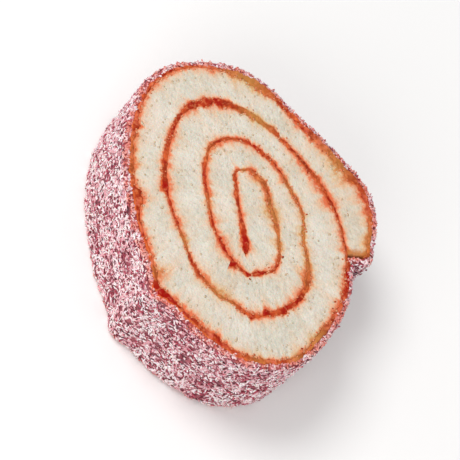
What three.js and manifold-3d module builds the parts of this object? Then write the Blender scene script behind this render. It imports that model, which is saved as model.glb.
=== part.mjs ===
// A thick slice of swiss roll cake, lying on one of its cut faces.
// A pale sponge sheet is rolled up with red jelly. The same jelly goes on round the outside
// of the roll, as a thin skin that holds a coat of pink desiccated coconut.
// Millimetres, +Z up, +Y along the roll's longer side, origin under the middle of the slice.

import * as THREE from 'three';
import Module from 'manifold-3d';
import { mergeVertices } from 'three/addons/utils/BufferGeometryUtils.js';

const wasm = await Module();
wasm.setup();

// Driving dimensions of the slice
const sliceThickness = 34;
const gap = 0.3;

// The roll, seen from above: the middle line of the jelly is an oval that grows with each turn
const growthPerTurn = 10.33;
const firstHalfWidth = -1.12;
const coreHalfLength = 7.7;
const stretchPerTurn = 1.68;
const coreTuck = new THREE.Vector2(-7.5, -6.5);
const coreTuckEnds = 0.55;
const startAngle = THREE.MathUtils.degToRad(285);
const coreLean = THREE.MathUtils.degToRad(-10.5);
const leanPerTurn = THREE.MathUtils.degToRad(3.5);
const driftPerTurn = new THREE.Vector2(-0.69, -0.74);

// The oval is a little three-cornered, and no turn is quite even
const cornerDepth = 1.18;
const cornerAngle = THREE.MathUtils.degToRad(66);
const outerTurns = 3;
const wobbles = [
  { depth: 0.22, perTurn: 3.3, phase: 1.0 },
  { depth: 0.13, perTurn: 7.1, phase: 2.2 },
  { depth: 0.07, perTurn: 12.7, phase: 4.1 },
];
// Bulges and dents of the line, each at a number of turns, with a height and a spread in turns
const bulges = [
  { turn: 0.5, height: 1.1, spread: 0.04 }, // the sharp fold at the top of the core
  { turn: 0.62, height: 1, spread: 0.03 }, // the top of the core's right side
  { turn: 0.72, height: 1.8, spread: 0.06 }, // its right shoulder
  { turn: 1.05, height: -0.5, spread: 0.06 }, // the flat bottom of the core
  { turn: 1.48, height: 0.8, spread: 0.03 }, // a corner over the core, on the left
  { turn: 1.55, height: -1.6, spread: 0.07 }, // a flat top over the core
  { turn: 1.85, height: -3, spread: 0.04 }, // the kink on the right of the second turn
  { turn: 2.04, height: -1.2, spread: 0.13 }, // its flat lower side
  { turn: 2.155, height: -0.9, spread: 0.02 }, // a dent where the jelly is thin
  { turn: 2.35, height: 1.2, spread: 0.05 }, // its full upper left side
  { turn: 2.69, height: -0.8, spread: 0.06 }, // its flat upper right side
  { turn: 2.97, height: -1.4, spread: 0.05 }, // the flat lower right side of the roll
  { turn: 3.249, height: 1.7, spread: 0.012 }, // the sharp corner at its lower left
  { turn: 3.25, height: 1.5, spread: 0.03 }, // the swelling round that corner
  { turn: 3.31, height: 0.8, spread: 0.02 }, // the left side over it
  { turn: 3.63, height: 1.1, spread: 0.03 }, // the corner at its upper right
  { turn: 3.7, height: -0.5, spread: 0.03 }, // the dent below that corner
  { turn: 3.81, height: 3, spread: 0.045 }, // the sheet stands off the roll before its end
];

// Where the jelly starts in the core, and where the sheet ends on the outside
const coreTurn = 0.1;
const tailTurn = 3.86;
const taperTurns = 0.075;
const tailThickness = 5.2;
const tailClearTurns = 0.003;

// The jelly is thick in some places and thin in others
const jellyThickness = 1.2;
const jellySwells = [
  { depth: 0.26, perTurn: 1.03, phase: -0.9 },
  { depth: 0.16, perTurn: 2.6, phase: 2.4 },
  { depth: 0.1, perTurn: 6.4, phase: 0.7 },
];
const jellyRecess = 0.25;
const coreStep = 1.15;
const outerStep = 3;
const coreStepEnds = 1.6;
const shortTurn = 0.002;

// The coconut coat, with shreds stuck in it
const coatThickness = 1.5;
const coatBump = 0.5;
const coatRecess = 0.5;
const coatEdgeRound = 0.35;
const coatEdgeShare = 0.25;
const innerAllowance = 0.4;
const coatStepsAround = 104;
const coatStepsUp = 9;
const rollSteps = 140;
const shredRows = 8;
const shredsInRow = 28;
const shredProud = 0.15;
const shredLength = [2.2, 3.6];
const shredWidth = [0.6, 1.0];
const shredTaper = 0.55;
const shredMargin = 2.6;
const shredSpreadAlong = 0.9;
const shredSpreadUp = 0.7;
const shredRoll = 0.5;
const shredPitch = 0.7;
const finest = 0.03;
const mergeDistance = 1e-4;

const sumOfWaves = (waves, turn) =>
  waves.reduce((sum, w) => sum + w.depth * Math.sin(2 * Math.PI * w.perTurn * turn + w.phase), 0);

const sumOfBulges = (turn) =>
  bulges.reduce((sum, b) => sum + b.height * Math.exp(-(((turn - b.turn) / b.spread) ** 2)), 0);

// Repeatable random numbers from 0 to 1
function seeded(seed) {
  let state = seed;
  return () => {
    state = (state * 1664525 + 1013904223) % 4294967296;
    return state / 4294967296;
  };
}

// A point on the jelly's middle line, at a number of turns from the core
function linePoint(turn) {
  const angle = startAngle - 2 * Math.PI * turn;
  const corner = (cornerDepth * turn / outerTurns) * Math.cos(3 * angle + cornerAngle);
  const tuck = (growthPerTurn - tailThickness) * THREE.MathUtils.smoothstep(turn, tailTurn - taperTurns, tailTurn);
  const wobble = Math.min(1, turn) * sumOfWaves(wobbles, turn) + sumOfBulges(turn);
  const halfWidth = firstHalfWidth + growthPerTurn * turn + corner + wobble - tuck;
  const halfLength = halfWidth + coreHalfLength + stretchPerTurn * turn;
  return new THREE.Vector2(halfWidth * Math.cos(angle), halfLength * Math.sin(angle))
    .rotateAround(new THREE.Vector2(), coreLean + leanPerTurn * turn)
    .addScaledVector(driftPerTurn, turn)
    .addScaledVector(coreTuck, Math.max(0, 1 - turn / coreTuckEnds) ** 2);
}

// The direction away from the core, square to the line
function outward(turn) {
  const along = linePoint(turn + shortTurn).sub(linePoint(turn - shortTurn)).normalize();
  return new THREE.Vector2(-along.y, along.x);
}

const beside = (turn, distance) => linePoint(turn).addScaledVector(outward(turn), distance);

const jellyHalf = (turn) => (jellyThickness + sumOfWaves(jellySwells, turn)) / 2;

// Turns from one to another along the line, in short steps in the core and longer ones outside
function turnsBetween(from, to, shorten = 1) {
  const fine = 3000;
  const at = (k) => THREE.MathUtils.lerp(from, to, k / fine);
  const stepAt = (turn) => shorten * THREE.MathUtils.lerp(coreStep, outerStep, Math.min(1, turn / coreStepEnds));
  const steps = [0];
  for (let k = 1; k <= fine; k++) {
    steps.push(steps[k - 1] + linePoint(at(k)).distanceTo(linePoint(at(k - 1))) / stepAt(at(k)));
  }
  const count = Math.round(steps[fine]);
  return Array.from({ length: count + 1 }, (_, i) => {
    const wanted = (steps[fine] * i) / count;
    return at(steps.findIndex((x) => x >= wanted - 1e-9));
  });
}

function prism(points, bottom, top) {
  const solid = new THREE.ExtrudeGeometry(new THREE.Shape(points), {
    depth: top - bottom,
    bevelEnabled: false,
  });
  return solid.translate(0, 0, bottom);
}

// The jelly is a strip along the line, rolled up in the core and open at the sheet's end
function jellyGeometry() {
  const turns = turnsBetween(coreTurn, tailTurn - tailClearTurns);
  const outerSide = turns.map((t) => beside(t, jellyHalf(t)));
  const innerSide = turns.map((t) => beside(t, -jellyHalf(t))).reverse();
  return prism([...outerSide, ...innerSide], jellyRecess, sliceThickness - jellyRecess);
}

// The sponge fills the room between one turn of jelly and the next
function spongeGeometry() {
  const clear = (turn) => jellyHalf(turn) + gap;
  const tip = linePoint(coreTurn);
  const back = linePoint(coreTurn).sub(linePoint(coreTurn + shortTurn)).normalize();
  const endTurn = tailTurn - tailClearTurns;
  const outerSide = turnsBetween(coreTurn, endTurn).map((t) => beside(t, -clear(t))).reverse();
  const innerSide = turnsBetween(coreTurn, endTurn - 1).map((t) => beside(t, clear(t)));
  const roundTip = tip.addScaledVector(back, clear(coreTurn));
  return prism([...outerSide, roundTip, ...innerSide], 0, sliceThickness);
}

// The coat follows the outermost turn and closes over the sheet's end
const outlinePoints = turnsBetween(tailTurn - 1, tailTurn, 0.5)
  .map((turn) => beside(turn, jellyHalf(turn) + gap))
  .map((p) => new THREE.Vector3(p.x, p.y, 0));
const outline = new THREE.CatmullRomCurve3(outlinePoints, true, 'centripetal');
outline.arcLengthDivisions = 2000;

function coatPoint(share, distance) {
  const near = 0.004;
  const shareOf = (x) => THREE.MathUtils.euclideanModulo(x, 1);
  const ahead = outline.getPointAt(shareOf(share + near));
  const along = ahead.sub(outline.getPointAt(shareOf(share - near))).normalize();
  return outline.getPointAt(share).add(new THREE.Vector3(-along.y, along.x, 0).multiplyScalar(distance));
}

function coatGeometry() {
  const random = seeded(41);
  const low = coatRecess;
  const high = sliceThickness - coatRecess;
  const outerWall = Array.from({ length: coatStepsUp + 1 }, (_, j) =>
    new THREE.Vector2(2, THREE.MathUtils.lerp(low, high, j / coatStepsUp)));
  const innerWall = [new THREE.Vector2(1, high), new THREE.Vector2(1, low)];
  const profile = [new THREE.Vector2(1, low), ...outerWall, ...innerWall];
  const lathed = new THREE.LatheGeometry(profile, coatStepsAround).rotateX(Math.PI / 2);
  lathed.deleteAttribute('normal');
  lathed.deleteAttribute('uv');
  const ring = mergeVertices(lathed, mergeDistance);
  const position = ring.attributes.position;
  for (let i = 0; i < position.count; i++) {
    const [x, y, z] = [position.getX(i), position.getY(i), position.getZ(i)];
    const share = THREE.MathUtils.euclideanModulo(-Math.atan2(y, x) / (2 * Math.PI), 1);
    const wall = Math.round(Math.hypot(x, y)) - 1;
    const level = Math.abs((2 * z - low - high) / (high - low));
    const bump = coatBump * (2 * random() - 1);
    const roundedEdge = coatEdgeRound * Math.max(0, 1 - (1 - level) / coatEdgeShare);
    const point = coatPoint(share, wall ? coatThickness + bump - roundedEdge : -innerAllowance);
    position.setXYZ(i, point.x, point.y, z);
  }
  return ring;
}

// The room that the rolled cake takes inside the coat
function rollGeometry() {
  const edge = outline.getSpacedPoints(rollSteps).slice(1);
  return prism(edge.map((p) => new THREE.Vector2(p.x, p.y)), -1, sliceThickness + 1);
}

// One shred of coconut: a short bar, narrower at one end
function shredGeometry(random) {
  const between = ([least, most]) => THREE.MathUtils.lerp(least, most, random());
  const shred = new THREE.BoxGeometry(between(shredLength), between(shredWidth), between(shredWidth));
  const position = shred.attributes.position;
  for (let i = 0; i < position.count; i++) {
    if (position.getX(i) > 0) {
      position.setY(i, position.getY(i) * shredTaper);
      position.setZ(i, position.getZ(i) * shredTaper);
    }
  }
  return shred;
}

// Shreds lie all over the coat in uneven rows, each turned its own way and sunk in by half
function shredGeometries() {
  const random = seeded(7);
  const shreds = [];
  for (let row = 0; row < shredRows; row++) {
    for (let column = 0; column < shredsInRow; column++) {
      const share = (column + 0.5 * (row % 2) + shredSpreadAlong * random()) / shredsInRow % 1;
      const level = (row + 0.5 + shredSpreadUp * (random() - 0.5)) / shredRows;
      const z = THREE.MathUtils.lerp(shredMargin, sliceThickness - shredMargin, level);
      const point = coatPoint(share, coatThickness + shredProud);
      const away = coatPoint(share, 2 * coatThickness).sub(coatPoint(share, 0)).normalize();
      const roll = shredRoll * (random() - 0.5);
      const pitch = shredPitch * (random() - 0.5);
      const lean = new THREE.Euler(roll, pitch, 2 * Math.PI * random(), 'ZYX');
      const turned = new THREE.Quaternion()
        .setFromUnitVectors(new THREE.Vector3(0, 0, 1), away)
        .multiply(new THREE.Quaternion().setFromEuler(lean));
      shreds.push(shredGeometry(random).applyQuaternion(turned).translate(point.x, point.y, z));
    }
  }
  return shreds;
}

function toSolid(geometry) {
  const bare = geometry.clone();
  bare.deleteAttribute('normal');
  bare.deleteAttribute('uv');
  const merged = mergeVertices(bare, mergeDistance);
  return new wasm.Manifold(new wasm.Mesh({
    numProp: 3,
    vertProperties: new Float32Array(merged.attributes.position.array),
    triVerts: new Uint32Array(merged.index.array),
  }));
}

function toGeometry(solid) {
  const mesh = solid.getMesh();
  const geometry = new THREE.BufferGeometry();
  geometry.setAttribute('position', new THREE.BufferAttribute(mesh.vertProperties, 3));
  geometry.setIndex(new THREE.BufferAttribute(mesh.triVerts, 1));
  geometry.computeVertexNormals();
  return geometry;
}

function coatWithShreds() {
  const covered = wasm.Manifold.union([coatGeometry(), ...shredGeometries()].map(toSolid));
  const pieces = covered.subtract(toSolid(rollGeometry())).decompose();
  pieces.sort((a, b) => b.volume() - a.volume());
  return toGeometry(pieces[0].simplify(finest));
}

function sub(name, geometry, color, roughness) {
  const material = new THREE.MeshStandardMaterial({ color, roughness, metalness: 0 });
  const mesh = new THREE.Mesh(geometry, material);
  mesh.name = name;
  return mesh;
}

const slice = new THREE.Group();
slice.add(
  sub('sponge', spongeGeometry(), 0xe1d7c2, 0.9),
  sub('jelly', jellyGeometry(), 0xb8321a, 0.3),
  sub('coconut_coat', coatWithShreds(), 0xc98f96, 0.85),
);

// The origin is under the middle of the slice
const box = new THREE.Box3().setFromObject(slice);
const middle = box.getCenter(new THREE.Vector3());
slice.children.forEach((mesh) => mesh.position.set(-middle.x, -middle.y, 0));

export default slice;
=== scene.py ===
# A thick slice of swiss roll cake, lying on one of its cut faces.
# Pale sponge is rolled up with red jelly, and the same jelly holds a coat of pink coconut.
# Metres, +Z up. The roll's own sizes are in millimetres, and MM turns them into metres.

import math

import bmesh
import bpy
import numpy as np
from mathutils import Matrix, Vector, noise


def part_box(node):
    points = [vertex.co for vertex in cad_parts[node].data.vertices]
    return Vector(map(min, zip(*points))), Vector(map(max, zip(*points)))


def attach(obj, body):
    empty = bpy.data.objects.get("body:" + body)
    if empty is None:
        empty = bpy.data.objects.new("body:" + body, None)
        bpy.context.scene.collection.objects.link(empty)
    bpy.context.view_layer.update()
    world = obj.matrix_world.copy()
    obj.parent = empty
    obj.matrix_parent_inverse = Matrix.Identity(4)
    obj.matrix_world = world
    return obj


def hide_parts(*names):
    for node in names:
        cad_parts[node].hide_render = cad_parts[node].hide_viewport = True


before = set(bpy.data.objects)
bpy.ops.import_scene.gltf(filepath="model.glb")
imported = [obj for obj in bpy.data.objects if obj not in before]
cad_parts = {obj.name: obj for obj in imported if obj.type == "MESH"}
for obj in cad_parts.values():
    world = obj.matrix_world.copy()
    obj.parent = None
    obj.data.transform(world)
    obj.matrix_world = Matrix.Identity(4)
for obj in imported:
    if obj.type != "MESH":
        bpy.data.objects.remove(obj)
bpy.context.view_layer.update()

MM = 0.001

# The roll, seen from above
SLICE_HEIGHT = 34.0
GROWTH_PER_TURN = 10.33
FIRST_HALF_WIDTH = -1.12
CORE_HALF_LENGTH = 7.7
STRETCH_PER_TURN = 1.68
CORE_TUCK = (-7.5, -6.5)
CORE_TUCK_ENDS = 0.55
START_ANGLE = math.radians(285)
CORE_LEAN = math.radians(-10.5)
LEAN_PER_TURN = math.radians(3.5)
DRIFT_PER_TURN = (-0.69, -0.74)
CORNERS = 3
CORNER_DEPTH = 1.18
CORNER_ANGLE = math.radians(66)
OUTER_TURNS = 3.0
WOBBLES = ((0.22, 3.3, 1.0), (0.13, 7.1, 2.2), (0.07, 12.7, 4.1))
BULGES = (
    (0.5, 1.1, 0.04),
    (0.62, 1.0, 0.03),
    (0.72, 1.8, 0.06),
    (1.05, -0.5, 0.06),
    (1.48, 0.8, 0.03),
    (1.55, -1.6, 0.07),
    (1.85, -3.0, 0.04),
    (2.04, -1.2, 0.13),
    (2.155, -0.9, 0.02),
    (2.35, 1.2, 0.05),
    (2.69, -0.8, 0.06),
    (2.97, -1.4, 0.05),
    (3.249, 1.7, 0.012),
    (3.25, 1.5, 0.03),
    (3.31, 0.8, 0.02),
    (3.63, 1.1, 0.03),
    (3.7, -0.5, 0.03),
    (3.81, 3.0, 0.045),
)
CORE_TURN = 0.1
FOLD_TURN = 0.52
TAIL_TURN = 3.86
TAPER_TURNS = 0.075
TAIL_THICKNESS = 5.2
TAIL_CLEAR_TURNS = 0.003
JELLY_THICKNESS = 1.2
JELLY_SWELLS = ((0.26, 1.03, -0.9), (0.16, 2.6, 2.4), (0.1, 6.4, 0.7))

# How finely the jelly's line is measured
LINE_SAMPLES = 6000
LINE_NUDGE = 0.002
PLAIN_LINE_STEP = 0.3

# Where the jelly's edges are: each row has a turn, and how many millimetres the jelly reaches outwards
# and inwards of its line there
JELLY_EDGES = (
    (0.10, 0.9, 0.6), (0.14, 1.2, 0.8), (0.27, 1.2, 0.5), (0.29, 0.6, 0.2), (0.34, 0.5, 0.2),
    (0.38, 0.7, 0.3), (0.50, 0.7, 0.3), (0.53, 0.4, 0.2), (0.60, 0.4, 0.1), (0.64, 1.0, 0.1),
    (0.70, 1.2, 0.2), (0.73, 0.3, 0.3), (0.76, 0.1, 0.8), (0.80, 0.5, 0.8), (0.85, 0.2, 0.8),
    (0.88, 0.1, 0.5), (0.93, 0.3, 0.3), (0.97, 0.6, 0.4), (1.00, 0.8, 0.1), (1.03, 0.2, 0.4),
    (1.05, 0.1, 0.9), (1.09, 0.1, 1.2), (1.11, 0.2, 0.3), (1.125, 1.0, 0.1), (1.145, 0.5, 0.5),
    (1.163, 0.4, 0.3), (1.17, 2.2, 0.2), (1.183, 2.0, 0.2), (1.19, 0.4, 0.3), (1.21, 0.5, 0.4),
    (1.23, 0.1, 0.9), (1.26, 0.1, 0.8), (1.28, 0.5, 0.4), (1.305, 0.5, 0.5), (1.32, 0.3, 0.3),
    (1.36, 0.4, 0.3), (1.42, 0.9, 0.2), (1.435, 0.8, 0.1), (1.45, 0.1, 0.5), (1.50, 0.1, 0.5),
    (1.53, 0.4, 0.4), (1.58, 0.4, 0.2), (1.61, 0.8, 0.3), (1.65, 0.9, 0.4), (1.68, 0.4, 0.5),
    (1.72, 0.6, 0.1), (1.74, 0.3, 0.2), (1.76, 0.3, 0.7), (1.80, 0.2, 0.3), (1.84, 0.4, 0.2),
    (1.87, 0.2, 0.3), (1.90, 0.1, 0.9), (1.93, 0.4, 1.0), (1.96, 0.9, 0.4), (1.985, 1.2, 0.2),
    (2.00, 0.8, 0.4), (2.02, 1.2, 0.4), (2.05, 0.9, 0.5), (2.07, 0.4, 1.1), (2.085, 0.1, 1.8),
    (2.09, 0.3, 0.5), (2.115, 1.0, 0.2), (2.125, 0.3, 0.3), (2.14, 0.5, 0.7), (2.15, 0.2, 0.4),
    (2.21, 0.2, 0.4), (2.22, 0.6, 0.4), (2.245, 0.7, 0.4), (2.26, 0.2, 0.2), (2.28, 0.2, 0.5),
    (2.29, 0.2, 0.2), (2.30, 0.7, 0.4), (2.315, 0.2, 0.2), (2.33, 0.7, 0.3), (2.34, 0.2, 0.2),
    (2.35, 1.4, 0.2), (2.363, 1.3, 0.3), (2.37, 0.9, 0.1), (2.40, 1.1, 0.2), (2.44, 0.9, 0.1),
    (2.49, 0.9, 0.3), (2.51, 0.8, 0.9), (2.54, 0.8, 1.8), (2.57, 0.8, 1.6), (2.60, 0.6, 1.0),
    (2.61, 0.3, 1.0), (2.66, 0.3, 1.0), (2.67, 0.7, 0.6), (2.68, 1.5, 0.4), (2.69, 0.7, 0.4),
    (2.73, 0.4, 0.6), (2.76, 0.7, 0.7), (2.79, 0.4, 1.0), (2.81, 0.2, 0.3), (2.86, 0.2, 0.2),
    (2.875, 1.3, 0.7), (2.905, 1.3, 0.8), (2.92, 0.5, 0.3), (2.94, 0.7, 0.8), (2.96, 0.3, 0.4),
    (2.975, 0.6, 0.8), (2.99, 0.3, 0.9), (3.02, 0.4, 0.7), (3.04, 0.7, 0.3), (3.06, 0.6, 0.2),
    (3.08, 0.3, 0.2), (3.10, 0.7, 0.6), (3.14, 0.8, 0.4), (3.17, 0.4, 1.0), (3.20, 0.5, 0.8),
    (3.215, 0.4, 0.4), (3.24, 0.8, 0.9), (3.255, 0.9, 1.0), (3.27, 0.5, 0.5), (3.285, 0.3, 0.3),
    (3.32, 0.3, 0.4), (3.33, 0.4, 1.0), (3.345, 0.3, 1.9), (3.355, 0.3, 0.8), (3.37, 0.6, 0.6),
    (3.41, 0.4, 0.6), (3.43, 0.4, 1.7), (3.44, 0.3, 0.5), (3.48, 0.5, 0.3), (3.52, 0.4, 0.3),
    (3.60, 0.4, 0.4), (3.62, 0.6, 1.5), (3.655, 0.6, 1.8), (3.67, 0.6, 0.8), (3.75, 0.6, 1.3),
    (3.78, 0.5, 1.7), (3.82, 0.5, 0.9), (3.86, 0.5, 0.5),
)

# Where the jelly is deep red or golden: each row has a turn, an amount and a spread in turns
DEEP_RED_PLACES = (
    (0.19, 1.0, 0.07), (0.44, 0.4, 0.05), (0.98, 0.6, 0.03), (1.07, 0.9, 0.03), (1.13, 0.9, 0.015),
    (1.175, 1.0, 0.012), (1.21, 0.7, 0.015), (1.245, 0.9, 0.02), (1.29, 0.8, 0.02), (1.40, 0.7, 0.04),
    (1.63, 0.8, 0.03), (1.98, 0.9, 0.012), (2.02, 0.9, 0.03), (2.08, 0.8, 0.012), (2.14, 0.8, 0.01),
    (2.235, 0.6, 0.02), (2.30, 0.7, 0.008), (2.33, 0.7, 0.008), (2.357, 1.0, 0.01), (2.46, 0.5, 0.04),
    (2.55, 0.8, 0.04), (2.68, 0.5, 0.01), (2.89, 1.0, 0.025), (2.975, 0.5, 0.01), (3.15, 0.5, 0.02),
    (3.22, 0.8, 0.03), (3.25, 1.0, 0.015), (3.43, 0.7, 0.008), (3.66, 0.5, 0.008), (3.77, 0.6, 0.02),
    (3.80, 0.6, 0.015),
)
GOLDEN_PLACES = (
    (0.57, 0.7, 0.03), (0.68, 0.5, 0.03), (0.79, 0.8, 0.05), (0.89, 0.7, 0.04), (1.33, 0.4, 0.02),
    (1.46, 0.3, 0.03), (1.75, 0.6, 0.02), (1.83, 0.9, 0.04), (1.89, 0.6, 0.02), (1.93, 0.3, 0.02),
    (2.18, 0.8, 0.03), (2.275, 0.7, 0.015), (2.64, 1.0, 0.03), (3.00, 0.9, 0.025), (3.05, 0.7, 0.012),
    (3.11, 0.6, 0.015), (3.265, 0.5, 0.008), (3.39, 0.3, 0.03), (3.63, 1.0, 0.03), (3.76, 0.8, 0.02),
    (3.84, 0.7, 0.02),
)

# How far the jelly has soaked into the sponge, in millimetres, and where it has soaked in further; the wide
# stain at turn 3.77 is partly a painted shadow
SOAK_REACH = 0.9
SOAK_LIMITS = (0.25, 2.2)
INNER_SIDE_SOAK = 1.55
FAR_SOAKED_AND_SHADOWED_PLACES = (
    (0.18, 0.7, 0.04),
    (0.515, 0.9, 0.005),
    (1.95, 0.4, 0.03),
    (2.40, 0.3, 0.03),
    (2.56, 0.4, 0.03),
    (2.78, 0.6, 0.03),
    (3.258, 2.4, 0.008),
    (3.345, 0.6, 0.015),
    (3.63, 0.4, 0.03),
    # Partly painted shadow: this stain is widened where a shadow darkened the sponge near the rim
    (3.77, 1.0, 0.04),
)

# The jelly goes round the outside of the roll from this turn on, and can't reach out through the coat
RIM_TURN = 2.87
RIM_ROOM = 0.6
RIM_BLEND_TURNS = 0.08

# How the noise of uneven surfaces changes from seed to seed, and from one octave to the next
SEED_SHIFT = (17.3, -9.1, 5.7)
FADING_PER_OCTAVE = 1.0
FINER_PER_OCTAVE = 2.0

# Uneven surfaces, in layers: each has a depth, a size in millimetres, a seed and a number of octaves
FACE_UNEVENNESS = ((0.28, 9.0, 1, 2), (0.14, 1.7, 2, 3))
EDGE_UNEVENNESS = ((0.6, 2.4, 3, 2), (0.45, 1.0, 5, 2))
EDGE_TEETH = ((0.2, 1.2, 6, 2),)
JELLY_UNEVENNESS = ((0.24, 1.3, 8, 2),)
COAT_UNEVENNESS = ((0.32, 3.2, 11, 2), (0.2, 1.1, 12, 2))
TORN_END = ((0.3, 1.8, 14, 3),)
COAT_RIM_UNEVENNESS = ((0.35, 1.3, 15, 2),)
SOAK_UNEVENNESS = ((0.7, 5.0, 17, 2), (0.5, 1.4, 18, 2))

# How far apart the noise for the two sides of the jelly's line is taken
SIDES_APART = 40.0

# The sponge sheet
SHEET_STEP = 0.42
SHEET_CELLS = 20
SHEET_WALL_CUTS = 5
SHEET_FOOT = 0.02
CELLS_TO_EDGES = 0.1
FOLD_CLEAR_TURNS = 0.02
TURNS_OVER_AT = (CORE_TURN + 0.93, CORE_TURN + 1.05)
TORN_TURNS = 0.02
TORN_DEPTH = 0.3
TORN_MOST = 0.7
TORN_HEIGHT = 3.0
END_STAIN_TURNS = 0.2
FAR_OFF = 99.0
PORE_SIZE = 1.25
PORE_WIDTH = 0.2
PORE_WIDTH_VARIES = 0.3
PORE_LEAST_WIDTH = 0.05
PORE_SHUFFLE = 7.7
PORE_DEPTH = 0.36
EDGE_SINK = 0.15
EDGE_SINK_WIDTH = 0.3

# The jelly
JELLY_STEP = 0.33
JELLY_CELLS = 10
JELLY_WALL_CUTS = 3
JELLY_FOOT = 0.06
JELLY_REACH = (0.12, 2.4)
JELLY_OVERLAP = 0.3
JELLY_CROWN = 0.1
THICKEST_CROWN = 2.5
JELLY_SINK = 0.12
PAST_EDGE_DIP = 0.7
PAST_EDGE_DIPS_AT = (-0.08, 0.16)
EDGE_BAND = 0.45
FURTHEST_PAST_EDGE = 1.5

# The coat and its shreds
COAT_STEPS_AROUND = 420
COAT_STEPS_UP = 46
COAT_RIM_STEPS = 3
COAT_LINE_STEP = 0.25
COAT_SMOOTHINGS = 6
COAT_THICKNESS = 1.4
COAT_INNER_DEPTH = 0.35
COAT_END_ROOM = 0.5
COAT_ROUNDING = 0.4
COAT_ROUNDING_HEIGHT = 0.8
COAT_RIM_SLOPE = 0.25
SHRED_PLACES_AROUND = 2400
SHRED_CLUMPING = 1.8
SHRED_CLUMP_SIZE = 6.0
THINLY = 0.15
SHRED_TIP_SCALE = (1, 0.5, 0.6)
SHRED_TWIST = 0.6
SHRED_LENGTH = (0.7, 1.7)
SHRED_WIDTH = (0.38, 0.74)
SHRED_THICKNESS = (0.18, 0.35)
SHRED_LEAN = 0.28
SHRED_ROLL = 0.5
SHRED_RISE = (-0.05, 0.35)
SHRED_ROUNDING_HEIGHT = 0.9
SHRED_LOWEST = 0.7
SHRED_HIGHEST = SLICE_HEIGHT - 0.6
RIM_SHRED_SHARE = 0.15
RIM_SHRED_SHORTER = 0.75
RIM_SHRED_REACH = (-0.3, 1.0)
RIM_SHRED_RISE = (-0.15, 0.2)
RIM_SHRED_LOWER = 0.55
RIM_SHRED_UPPER = SLICE_HEIGHT - 0.45

# The small lumps on the shown face
COATED_FROM_TURN = TAIL_TURN - 1.05
LUMP_STRETCH = (0.8, 1.5)
LUMP_UNEVENNESS = 0.35
LUMP_BUMPS = 2.1

# A turn grows longer outwards, so lumps are spread evenly by the squares of their turns, between these
LUMP_TURN_SQUARES = (0.3, TAIL_TURN**2 - 0.6)


def smoothstep(x, low, high):
    """A step from 0 at low to 1 at high, with soft ends."""
    x = np.clip((x - low) / (high - low), 0, 1)
    return x * x * (3 - 2 * x)


def sum_of_waves(waves, turns):
    """Waves along the turns: each has a depth, a number per turn and a phase."""
    return sum(depth * np.sin(2 * np.pi * per_turn * turns + phase) for depth, per_turn, phase in waves)


def sum_of_bumps(bumps, turns):
    """Bumps along the turns: each has a turn, an amount and a spread."""
    return sum(amount * np.exp(-(((turns - at) / spread) ** 2)) for at, amount, spread in bumps)


def line_points(turns):
    """Points on the jelly's middle line, in millimetres, at numbers of turns from the core."""
    turns = np.asarray(turns, float)
    angle = START_ANGLE - 2 * np.pi * turns
    corner = CORNER_DEPTH * turns / OUTER_TURNS * np.cos(CORNERS * angle + CORNER_ANGLE)
    wobble = np.minimum(1, turns) * sum_of_waves(WOBBLES, turns) + sum_of_bumps(BULGES, turns)
    tuck = (GROWTH_PER_TURN - TAIL_THICKNESS) * smoothstep(turns, TAIL_TURN - TAPER_TURNS, TAIL_TURN)
    half_width = FIRST_HALF_WIDTH + GROWTH_PER_TURN * turns + corner + wobble - tuck
    half_length = half_width + CORE_HALF_LENGTH + STRETCH_PER_TURN * turns
    x = half_width * np.cos(angle)
    y = half_length * np.sin(angle)
    lean = CORE_LEAN + LEAN_PER_TURN * turns
    core = np.maximum(0, 1 - turns / CORE_TUCK_ENDS) ** 2
    return np.stack(
        (
            x * np.cos(lean) - y * np.sin(lean) + DRIFT_PER_TURN[0] * turns + CORE_TUCK[0] * core,
            x * np.sin(lean) + y * np.cos(lean) + DRIFT_PER_TURN[1] * turns + CORE_TUCK[1] * core,
        ),
        -1,
    )


def along_line(turns):
    """The direction of the jelly's line, one unit long."""
    step = line_points(turns + LINE_NUDGE) - line_points(turns - LINE_NUDGE)
    return step / np.linalg.norm(step, axis=-1, keepdims=True)


def outward(turns):
    """The way out of the roll, square to the jelly's line."""
    along = along_line(turns)
    return np.stack((-along[:, 1], along[:, 0]), -1)


def jelly_half(turns):
    """Half the thickness of the solid jelly."""
    return (JELLY_THICKNESS + sum_of_waves(JELLY_SWELLS, turns)) / 2


def even_turns(start, end, step):
    """Turns from start to end, so that the line's points are evenly spaced."""
    fine = np.linspace(start, end, LINE_SAMPLES)
    points = line_points(fine)
    reach = np.concatenate(([0], np.cumsum(np.linalg.norm(np.diff(points, axis=0), axis=1))))
    return np.interp(np.linspace(0, reach[-1], round(reach[-1] / step) + 1), reach, fine)


def ragged(points, size, seed, octaves=3):
    """Uneven values from about -1 to 1 at points in millimetres."""
    offset = Vector([shift * seed for shift in SEED_SHIFT])
    places = [Vector(p) / size + offset for p in points]
    settings = (FADING_PER_OCTAVE, FINER_PER_OCTAVE, octaves)
    return np.array([noise.fractal(p, *settings, noise_basis="PERLIN_ORIGINAL") for p in places])


def unevenness(points, layers):
    """Layers of uneven values at points in millimetres, added up."""
    return sum(depth * ragged(points, size, seed, octaves) for depth, size, seed, octaves in layers)


def flat(points, height=0.0):
    """Points of the plan, all at one height."""
    return np.column_stack((points, np.full(len(points), height)))


def jelly_edge(turns, side):
    """How far the jelly's edge stands from its line, on its outer (+1) or inner (-1) side."""
    at, outwards, inwards = np.array(JELLY_EDGES).T
    reach = np.interp(turns, at, outwards if side > 0 else inwards)
    beside = flat(line_points(turns), SIDES_APART * side)
    edge = reach * (1 + unevenness(beside, EDGE_UNEVENNESS)) + unevenness(beside, EDGE_TEETH)
    least, most = JELLY_REACH
    most = np.where((turns > RIM_TURN) & (side > 0), jelly_half(turns) + RIM_ROOM, most)
    return np.clip(edge, least, most)


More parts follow.
